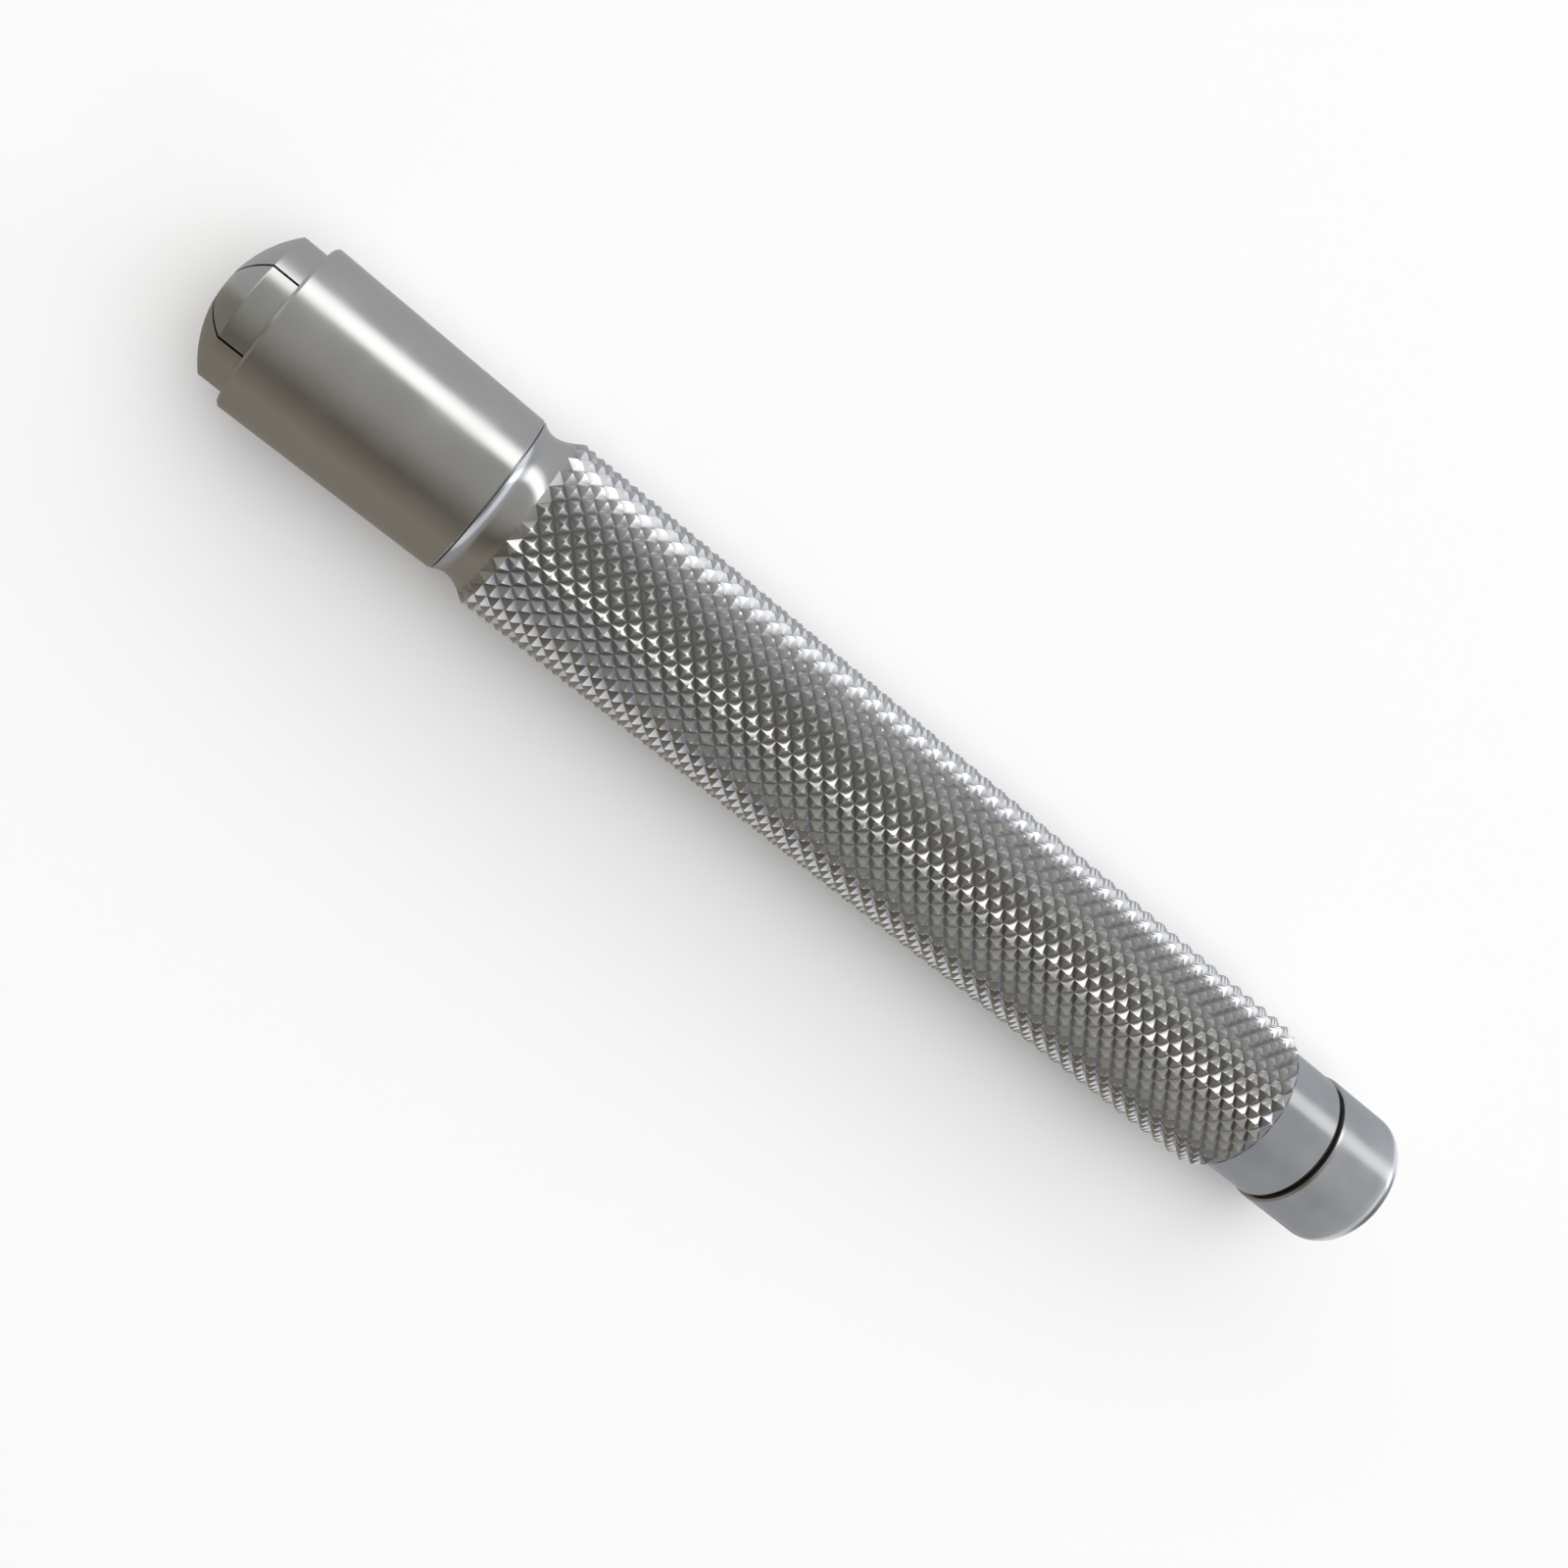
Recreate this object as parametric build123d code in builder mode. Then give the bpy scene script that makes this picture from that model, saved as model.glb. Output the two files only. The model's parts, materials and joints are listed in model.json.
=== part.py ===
from build123d import *
import math
import os

# Small draw-in collet hand vise, lying on its knurl.
# X runs along the tool, with the jaws at -X and the knob at +X. +Z is up.
# The origin is on the supporting surface, under the middle of the tool.

# ---- driving dimensions (mm, degrees) ----
overall_length = 79.5       # from the rim of the jaws' bore to the knob's end
knurl_radius = 5.0          # over the knurl's crests
axis_height = knurl_radius  # the tool rests on its knurl

dome_height = 1.5           # to the dome's apex, which the jaws' bore takes away
nose_radius = 4.06
nose_cylinder = 1.4         # straight part of the nose in front of the sleeve
sleeve_length = 12.3
sleeve_mouth_radius = 4.68
sleeve_rear_radius = 4.58
collar_length = 4.25
collar_radius = 4.18
washer_gap = 0.30
knob_length = 5.35
knob_radius = 4.32
knob_rounding = 1.15
neck_length = 1.75
neck_radius = 4.29
knurl_depth = 0.36
edge_break = 0.12

jaw_count = 6
slit_width = 0.12
grip_radius = 1.0           # closed jaws hold 2 mm stock
grip_depth = 9.0
grip_chamfer = 0.2
taper_angle = 16.0
taper_play = 0.04
finger_radius = 2.1
finger_bore = 1.3
finger_end_play = 0.05

rod_radius = 1.5
rod_flat = 1.1
thread_play = 0.05
running_play = 0.05
press_play = 0.01
joint_play = 0.04           # between the sleeve's rear face and the barrel's shoulder

# ---- stations along X ----
dome_sphere = (nose_radius**2 + dome_height**2) / (2 * dome_height)
lip_radius = grip_radius + grip_chamfer
lip_depth = dome_sphere - math.sqrt(dome_sphere**2 - lip_radius**2)
nose_tip = -overall_length / 2 - lip_depth
dome_edge = nose_tip + dome_height
mouth = dome_edge + nose_cylinder
seam = mouth + sleeve_length
knurl_front = seam + neck_length
knob_end = overall_length / 2
knob_front = knob_end - knob_length
collar_end = knob_front - washer_gap
knurl_rear = collar_end - collar_length

finger_root = -17.0
stem_rear = -5.9
bush_front = 17.0
bush_length = 8.0
nut_front = 27.0
taper_slope = math.tan(math.radians(taper_angle))

# ---- bores and spigots ----
front_bore = 3.15
rear_bore = 3.3
spigot_radius = 3.9
spigot_length = 5.3
sleeve_bore = 2.9
stem_radius = front_bore - running_play
nut_radius = rear_bore - running_play

os.makedirs("parts", exist_ok=True)
axis_line = Axis((0, 0, axis_height), (1, 0, 0))


def on_axis(points):
    """Points given as (x, radius), placed above the tool's axis."""
    return [(x, axis_height + radius) for x, radius in points]


def finish(piece, name):
    """Label a finished piece and write it to its own file."""
    piece.part.label = name
    export_step(piece.part, f"parts/{name}.step")


def turned(name, points):
    """A piece of closed straight-sided section, turned about the tool's axis."""
    with BuildPart() as piece:
        with BuildSketch(Plane.XZ):
            with BuildLine():
                Polyline(*on_axis(points), close=True)
            make_face()
        revolve(axis=axis_line)
    finish(piece, name)


# ---- knurled barrel: spigot, neck, handle, collar ----
shoulder = seam + joint_play
shoulder_radius = 4.54
shoulder_break = 0.04       # on the shoulder's corner
neck_middle = seam + 0.75   # where the neck is narrowest
knurl_break = 0.35          # length of the chamfer at each end of the knurl
knurl_root = knurl_radius - knurl_depth
barrel_front = seam - spigot_length

with BuildPart() as knurled_barrel:
    with BuildSketch(Plane.XZ):
        with BuildLine():
            neck = on_axis(
                [
                    (shoulder + shoulder_break, shoulder_radius),
                    (neck_middle, neck_radius),
                    (knurl_front, knurl_root),
                ]
            )
            Polyline(
                *on_axis(
                    [
                        (barrel_front, front_bore),
                        (barrel_front, spigot_radius - press_play),
                        (shoulder, spigot_radius - press_play),
                        (shoulder, shoulder_radius - shoulder_break),
                        (shoulder + shoulder_break, shoulder_radius),
                    ]
                )
            )
            Spline(*neck)
            Polyline(
                *on_axis(
                    [
                        (knurl_front, knurl_root),
                        (knurl_front + knurl_break, knurl_radius),
                        (knurl_rear - knurl_break, knurl_radius),
                        (knurl_rear, knurl_root),
                        (knurl_rear, collar_radius),
                        (collar_end - edge_break, collar_radius),
                        (collar_end, collar_radius - edge_break),
                        (collar_end, rear_bore),
                        (bush_front, rear_bore),
                        (bush_front, front_bore),
                        (barrel_front, front_bore),
                    ]
                )
            )
        make_face()
    revolve(axis=axis_line)
finish(knurled_barrel, "knurled_barrel")

# ---- nose sleeve: taper at the mouth, counterbore over the spigot ----
mouth_bore = nose_radius + taper_play
mouth_break = 0.15
rear_break = 0.06
taper_end = mouth + (mouth_bore - sleeve_bore) / taper_slope
turned(
    "nose_sleeve",
    [
        (mouth, mouth_bore),
        (mouth, sleeve_mouth_radius - mouth_break),
        (mouth + mouth_break, sleeve_mouth_radius),
        (seam - rear_break, sleeve_rear_radius),
        (seam, sleeve_rear_radius - rear_break),
        (seam, spigot_radius),
        (barrel_front, spigot_radius),
        (barrel_front, sleeve_bore),
        (taper_end, sleeve_bore),
    ],
)

# ---- collet: stem and six jaws ----
waist_length = 1.5          # thin front of the stem, where the fingers begin
stem_shoulder = finger_root + waist_length
shoulder_cone = 0.5
rod_front = -12.0
pin_station = -9.0
pin_radius = 0.5


def cross_hole():
    """Sketch of the cross pin's hole, seen from above."""
    with BuildSketch(Plane.XY) as hole:
        with Locations((pin_station, 0)):
            Circle(pin_radius)
    return hole.sketch


with BuildPart() as collet_stem:
    with BuildSketch(Plane.XZ):
        with BuildLine():
            Polyline(
                *on_axis(
                    [
                        (finger_root, finger_bore),
                        (finger_root, finger_radius),
                        (stem_shoulder, finger_radius),
                        (stem_shoulder + shoulder_cone, stem_radius),
                        (stem_rear, stem_radius),
                        (stem_rear, rod_radius),
                        (rod_front, rod_radius),
                        (rod_front, finger_bore),
                    ]
                ),
                close=True,
            )
        make_face()
    revolve(axis=axis_line)
    extrude(cross_hole(), amount=2 * axis_height, mode=Mode.SUBTRACT)
finish(collet_stem, "collet_stem")


bore_cone = 0.3             # from the grip's bore to the wider finger bore
wedge_reach = 10.0          # past the nose's outside
wedge_spare = 1.0           # past both of the jaw's ends


def dome_x(radius):
    """Station of the dome's surface at a radius from the tool's axis."""
    return nose_tip + dome_sphere - math.sqrt(dome_sphere**2 - radius**2)


def make_jaw(index):
    """One jaw with its spring finger; jaw 1 is the uppermost."""
    turn = 360 / jaw_count
    centre = turn * index
    cone_small = mouth + (nose_radius - finger_radius) / taper_slope
    grip_end = nose_tip + grip_depth
    half_way = (lip_radius + nose_radius) / 2
    with BuildPart() as jaw:
        with BuildSketch(Plane.XZ):
            with BuildLine():
                ThreePointArc(
                    *on_axis(
                        [
                            (dome_x(lip_radius), lip_radius),
                            (dome_x(half_way), half_way),
                            (dome_edge, nose_radius),
                        ]
                    )
                )
                Polyline(
                    *on_axis(
                        [
                            (dome_edge, nose_radius),
                            (mouth, nose_radius),
                            (cone_small, finger_radius),
                            (finger_root - finger_end_play, finger_radius),
                            (finger_root - finger_end_play, finger_bore),
                            (grip_end + bore_cone, finger_bore),
                            (grip_end, grip_radius),
                            (dome_x(lip_radius) + grip_chamfer, grip_radius),
                            (dome_x(lip_radius), lip_radius),
                        ]
                    )
                )
            make_face()
        revolve(axis=axis_line)
        # Keep the wedge of one jaw, narrowed by half a slit on each side.
        half_angle = math.radians(turn / 2)
        apex = axis_height + slit_width / 2 / math.sin(half_angle)
        side = wedge_reach * math.tan(half_angle)
        with BuildSketch(Plane.YZ.offset(nose_tip - wedge_spare)):
            with BuildLine():
                top = apex + wedge_reach
                Polyline((0, apex), (side, top), (-side, top), close=True)
            make_face()
        extrude(amount=finger_root - nose_tip + 2 * wedge_spare, mode=Mode.INTERSECT)
    placed = jaw.part.rotate(axis_line, centre)
    name = f"jaw_{index + 1}"
    placed.label = name
    export_step(placed, f"parts/{name}.step")


for jaw_index in range(jaw_count):
    make_jaw(jaw_index)

# ---- draw rod with its flat, cross pin and stop ring ----
rod_inset = 1.4             # the rod's end in front of the knob's end
rod_end = knob_end - rod_inset
ring_thickness = 0.5
ring_radius = 2.1
ring_groove = 1.0
ring_inset = 0.7            # from the rod's end to the ring's groove
ring_front = rod_end - ring_inset
flat_start = 4.0
flat_cut = 1.0              # deeper than the flat's own depth

with BuildPart() as draw_rod:
    with BuildSketch(Plane.XZ):
        with BuildLine():
            Polyline(
                *on_axis(
                    [
                        (rod_front, 0),
                        (rod_front, rod_radius),
                        (ring_front, rod_radius),
                        (ring_front, ring_groove),
                        (ring_front + ring_thickness, ring_groove),
                        (ring_front + ring_thickness, rod_radius),
                        (rod_end, rod_radius),
                        (rod_end, 0),
                    ]
                ),
                close=True,
            )
        make_face()
    revolve(axis=axis_line)
    with BuildSketch(Plane.YZ.offset(flat_start)):
        with Locations((0, axis_height + rod_flat)):
            Rectangle(2 * rod_radius, flat_cut, align=(Align.CENTER, Align.MIN))
    extrude(amount=rod_end - flat_start, mode=Mode.SUBTRACT)
    extrude(cross_hole(), amount=2 * axis_height, mode=Mode.SUBTRACT)
finish(draw_rod, "draw_rod")

pin_length = 5.6

with BuildPart() as rod_pin:
    with BuildSketch(Plane.XY.offset(axis_height - pin_length / 2)):
        with Locations((pin_station, 0)):
            Circle(pin_radius)
    extrude(amount=pin_length)
finish(rod_pin, "rod_pin")

turned(
    "stop_ring",
    [
        (ring_front, ring_groove),
        (ring_front, ring_radius),
        (ring_front + ring_thickness, ring_radius),
        (ring_front + ring_thickness, ring_groove),
    ],
)

# ---- return spring and its two washers ----
washer_thickness = 0.4
washer_bore = rod_radius + 2 * running_play
spring_front = stem_rear + washer_thickness
spring_rear = bush_front - washer_thickness
wire_radius = 0.25
coil_radius = 2.45
coil_turns = 13

turned(
    "spring_washer",
    [
        (stem_rear, washer_bore),
        (stem_rear, stem_radius),
        (spring_front, stem_radius),
        (spring_front, washer_bore),
    ],
)
turned(
    "preload_washer",
    [
        (spring_rear, washer_bore),
        (spring_rear, stem_radius),
        (bush_front, stem_radius),
        (bush_front, washer_bore),
    ],
)

coil_height = spring_rear - spring_front - 2 * wire_radius
with BuildPart() as return_spring:
    with BuildLine():
        coil = Helix(
            pitch=coil_height / coil_turns,
            height=coil_height,
            radius=coil_radius,
            center=(spring_front + wire_radius, 0, axis_height),
            direction=(1, 0, 0),
        )
    with BuildSketch(Plane(origin=coil @ 0, z_dir=coil % 0)):
        Circle(wire_radius)
    sweep(path=coil, is_frenet=True)
finish(return_spring, "return_spring")

# ---- rear bush: its D-shaped hole keeps the rod from turning ----
with BuildPart() as rear_bush:
    with BuildSketch(Plane.YZ.offset(bush_front)):
        with Locations((0, axis_height)):
            Circle(rear_bore - press_play)
            Circle(rod_radius + thread_play, mode=Mode.SUBTRACT)
        with Locations((0, axis_height + rod_flat + thread_play)):
            Rectangle(2 * rod_radius, flat_cut, align=(Align.CENTER, Align.MIN))
    extrude(amount=bush_length)
finish(rear_bush, "rear_bush")

# ---- thrust washer, knob and its insert ----
washer_play = 0.02
thrust_bore = rear_bore + running_play
thrust_radius = 3.95
turned(
    "thrust_washer",
    [
        (collar_end, thrust_bore),
        (collar_end, thrust_radius),
        (knob_front - washer_play, thrust_radius),
        (knob_front - washer_play, thrust_bore),
    ],
)

nut_press = 3.0
nut_reach = 2.0             # into the knob
nut_rear = knob_front + nut_reach
ring_room = 2.3             # clears the stop ring, which travels inside the knob
room_lead = 0.45            # how far that room starts in front of the knob
room_front = knob_front - room_lead
thread_bore = rod_radius + thread_play
turned(
    "knob_nut",
    [
        (nut_front, thread_bore),
        (nut_front, nut_radius),
        (knob_front, nut_radius),
        (knob_front, nut_press - press_play),
        (nut_rear, nut_press - press_play),
        (nut_rear, ring_room),
        (room_front, ring_room),
        (room_front, thread_bore),
    ],
)

plug_radius = 2.7
plug_length = 1.1
plug_front = knob_end - plug_length
with BuildPart() as end_knob:
    with BuildSketch(Plane.XZ):
        with BuildLine():
            Polyline(
                *on_axis(
                    [
                        (knob_front, nut_press),
                        (knob_front, knob_radius - edge_break),
                        (knob_front + edge_break, knob_radius),
                        (knob_end - knob_rounding, knob_radius),
                    ]
                )
            )
            RadiusArc(
                on_axis([(knob_end - knob_rounding, knob_radius)])[0],
                on_axis([(knob_end, knob_radius - knob_rounding)])[0],
                knob_rounding,
            )
            Polyline(
                *on_axis(
                    [
                        (knob_end, knob_radius - knob_rounding),
                        (knob_end, plug_radius),
                        (plug_front, plug_radius),
                        (plug_front, ring_room),
                        (nut_rear, ring_room),
                        (nut_rear, nut_press),
                        (knob_front, nut_press),
                    ]
                )
            )
        make_face()
    revolve(axis=axis_line)
finish(end_knob, "end_knob")

plug_break = 0.1
turned(
    "knob_plug",
    [
        (plug_front, 0),
        (plug_front, plug_radius - press_play),
        (knob_end - plug_break, plug_radius - press_play),
        (knob_end, plug_radius - press_play - plug_break),
        (knob_end, 0),
    ],
)
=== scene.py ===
"""A small draw-in collet hand vise, turned and knurled in steel, lying on a pale floor."""

import json
import logging
import math
import random
from collections.abc import Callable, Sequence
from dataclasses import dataclass, field
from enum import Enum

import bmesh
import bpy
from mathutils import Matrix, Vector


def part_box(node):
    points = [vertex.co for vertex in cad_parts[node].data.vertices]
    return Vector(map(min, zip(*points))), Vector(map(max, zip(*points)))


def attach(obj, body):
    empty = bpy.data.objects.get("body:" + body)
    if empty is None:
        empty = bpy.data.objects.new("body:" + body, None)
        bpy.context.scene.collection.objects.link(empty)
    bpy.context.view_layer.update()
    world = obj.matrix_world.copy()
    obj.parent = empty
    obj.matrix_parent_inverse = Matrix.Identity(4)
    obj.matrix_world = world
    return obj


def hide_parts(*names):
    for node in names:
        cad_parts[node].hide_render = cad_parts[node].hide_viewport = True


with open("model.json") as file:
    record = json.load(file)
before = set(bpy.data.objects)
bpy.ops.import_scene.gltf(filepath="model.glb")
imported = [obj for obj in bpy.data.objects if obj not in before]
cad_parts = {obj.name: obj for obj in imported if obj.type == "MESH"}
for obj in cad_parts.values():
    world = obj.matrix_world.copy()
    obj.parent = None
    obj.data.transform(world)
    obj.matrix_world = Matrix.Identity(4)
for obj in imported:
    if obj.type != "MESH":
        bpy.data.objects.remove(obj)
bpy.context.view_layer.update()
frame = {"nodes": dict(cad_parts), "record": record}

LOG = logging.getLogger("collet_hand_vise")
MM = 0.001
WELD = 1e-8  # metres, for points that are the same point
ON_PLANE = 1e-7  # metres, for points that lie on a station or a cut
AXIS_HEIGHT = 5.0 * MM
TAPER = math.radians(16)  # of the sleeve's mouth and the jaws' cone
PRESS_PLAY = 0.01 * MM
X_AXIS = Vector((1, 0, 0))
AXIS_POINT = Vector((0, 0, AXIS_HEIGHT))

Section = Sequence[tuple[float, float]]
Colour = tuple[float, float, float]


class Slot(Enum):
    """The record's material slots."""

    SATIN_STEEL = "satin_steel"
    TURNED_STEEL = "turned_steel"
    JAW_STEEL = "jaw_steel"
    SPRING_STEEL = "spring_steel"
    BRASS = "brass"
    BLACK_WASHER = "black_washer"


class Body(Enum):
    """The bodies that pieces ride on."""

    HANDLE = "handle"
    KNOB = "knob"
    COLLET = "collet"


# ---- finishes ----


class Nodes:
    """A small helper that adds and joins shader nodes in one tree."""

    def __init__(self, tree: bpy.types.NodeTree) -> None:
        """Take over a tree and empty it."""
        self.tree = tree
        tree.nodes.clear()

    def add(self, kind: str, **settings: object) -> bpy.types.Node:
        """Add a node.

        Args:
            kind: the node's type name.
            settings: attributes to set on it.

        Returns:
            The new node.
        """
        node = self.tree.nodes.new(kind)
        for name, value in settings.items():
            setattr(node, name, value)
        return node

    def join(self, source: bpy.types.NodeSocket, target: bpy.types.NodeSocket) -> None:
        """Link an output to an input."""
        self.tree.links.new(source, target)


@dataclass(frozen=True)
class TurnedMetal:
    """Bare metal off the lathe: fine rings around the tool's axis and a cloudy handling bloom."""

    name: str
    colour: Colour
    roughness: float
    ring_pitch: float = 0.09 * MM
    ring_depth: float = 0.0012 * MM
    ring_stretch: float = 0.03 / MM  # how fast the rings change across their own direction
    bloom: float = 0.06
    cloud_scale: float = 0.35 / MM
    cloud_span: tuple[float, float] = (0.3, 0.7)  # where most of the noise lies
    dull_tint: float = 0.88  # colour of the dullest patches, as a share of the full colour

    def build(self) -> bpy.types.Material:
        """Make the material.

        Returns:
            The finished material.
        """
        material = bpy.data.materials.new(self.name)
        material.use_nodes = True
        nodes = Nodes(material.node_tree)
        shader = nodes.add("ShaderNodeBsdfPrincipled")
        shader.inputs["Metallic"].default_value = 1.0
        output = nodes.add("ShaderNodeOutputMaterial")
        nodes.join(shader.outputs["BSDF"], output.inputs["Surface"])

        place = nodes.add("ShaderNodeTexCoord")
        cloud = nodes.add("ShaderNodeTexNoise")
        cloud.inputs["Scale"].default_value = self.cloud_scale
        cloud.inputs["Detail"].default_value = 4.0
        nodes.join(place.outputs["Object"], cloud.inputs["Vector"])
        polish = nodes.add("ShaderNodeMapRange")
        polish.inputs["From Min"].default_value, polish.inputs["From Max"].default_value = self.cloud_span
        polish.inputs["To Min"].default_value = self.roughness - self.bloom
        polish.inputs["To Max"].default_value = self.roughness + self.bloom
        nodes.join(cloud.outputs["Fac"], polish.inputs["Value"])
        nodes.join(polish.outputs["Result"], shader.inputs["Roughness"])

        tint = nodes.add("ShaderNodeMix", data_type="RGBA")
        tint.inputs["A"].default_value = (*[self.dull_tint * c for c in self.colour], 1)
        tint.inputs["B"].default_value = (*self.colour, 1)
        nodes.join(cloud.outputs["Fac"], tint.inputs["Factor"])
        self.shade(nodes, tint.outputs["Result"], shader.inputs["Base Color"])

        stretch = nodes.add("ShaderNodeMapping")
        stretch.inputs["Scale"].default_value = (1 / self.ring_pitch, self.ring_stretch, self.ring_stretch)
        rings = nodes.add("ShaderNodeTexNoise")
        rings.inputs["Scale"].default_value = 1.0
        rings.inputs["Detail"].default_value = 3.0
        bump = nodes.add("ShaderNodeBump")
        bump.inputs["Strength"].default_value = 1.0
        bump.inputs["Distance"].default_value = self.ring_depth
        nodes.join(place.outputs["Object"], stretch.inputs["Vector"])
        nodes.join(stretch.outputs["Vector"], rings.inputs["Vector"])
        nodes.join(rings.outputs["Fac"], bump.inputs["Height"])
        nodes.join(bump.outputs["Normal"], shader.inputs["Normal"])
        return material

    def shade(self, nodes: Nodes, source: bpy.types.NodeSocket, target: bpy.types.NodeSocket) -> None:
        """Pass the tint straight to the shader."""
        nodes.join(source, target)


@dataclass(frozen=True)
class KnurledMetal(TurnedMetal):
    """Turned metal whose knurl carries painted shade: the colour darkens from the crests down to the
    grooves' root.
    """

    # share of the colour left at the grooves' root: painted shade
    groove_shade: float = 0.58

    def shade(self, nodes: Nodes, source: bpy.types.NodeSocket, target: bpy.types.NodeSocket) -> None:
        """Paint shade into the grooves: darken the colour by the piece's own height attribute."""
        height = nodes.add("ShaderNodeAttribute", attribute_name="knurl_height")
        # painted shade: full colour on the crests, less towards the root
        painted_groove_shade = nodes.add("ShaderNodeMapRange")
        painted_groove_shade.inputs["To Min"].default_value = self.groove_shade
        painted_groove_shade.inputs["To Max"].default_value = 1.0
        nodes.join(height.outputs["Fac"], painted_groove_shade.inputs["Value"])
        wash = nodes.add("ShaderNodeVectorMath", operation="SCALE")
        nodes.join(source, wash.inputs["Vector"])
        nodes.join(painted_groove_shade.outputs["Result"], wash.inputs["Scale"])
        nodes.join(wash.outputs["Vector"], target)


@dataclass(frozen=True)
class MouldedNylon:
    """Matte black plastic with a fine grain."""

    name: str
    colour: Colour
    roughness: float
    grain_scale: float = 8 / MM
    grain_depth: float = 0.004 * MM
    light_tint: float = 1.8  # colour of the palest grains, as a share of the full colour

    def build(self) -> bpy.types.Material:
        """Make the material.

        Returns:
            The finished material.
        """
        material = bpy.data.materials.new(self.name)
        material.use_nodes = True
        nodes = Nodes(material.node_tree)
        shader = nodes.add("ShaderNodeBsdfPrincipled")
        shader.inputs["Roughness"].default_value = self.roughness
        output = nodes.add("ShaderNodeOutputMaterial")
        nodes.join(shader.outputs["BSDF"], output.inputs["Surface"])
        place = nodes.add("ShaderNodeTexCoord")
        grain = nodes.add("ShaderNodeTexNoise")
        grain.inputs["Scale"].default_value = self.grain_scale
        nodes.join(place.outputs["Object"], grain.inputs["Vector"])
        tint = nodes.add("ShaderNodeMix", data_type="RGBA")
        tint.inputs["A"].default_value = (*self.colour, 1)
        tint.inputs["B"].default_value = (*[self.light_tint * c for c in self.colour], 1)
        nodes.join(grain.outputs["Fac"], tint.inputs["Factor"])
        nodes.join(tint.outputs["Result"], shader.inputs["Base Color"])
        bump = nodes.add("ShaderNodeBump")
        bump.inputs["Distance"].default_value = self.grain_depth
        nodes.join(grain.outputs["Fac"], bump.inputs["Height"])
        nodes.join(bump.outputs["Normal"], shader.inputs["Normal"])
        return material


FINISHES = {
    Slot.SATIN_STEEL: KnurledMetal("knurled_steel_finish", (0.84, 0.84, 0.83), 0.16),
    Slot.TURNED_STEEL: TurnedMetal("turned_steel_finish", (0.64, 0.64, 0.63), 0.20),
    Slot.JAW_STEEL: TurnedMetal("jaw_steel_finish", (0.62, 0.63, 0.61), 0.26),
    Slot.SPRING_STEEL: TurnedMetal("spring_steel_finish", (0.42, 0.42, 0.43), 0.30),
    Slot.BRASS: TurnedMetal("brass_finish", (0.78, 0.58, 0.26), 0.24),
    Slot.BLACK_WASHER: MouldedNylon("black_washer_finish", (0.012, 0.012, 0.013), 0.55),
}


# ---- mesh tools of the lathe ----


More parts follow.
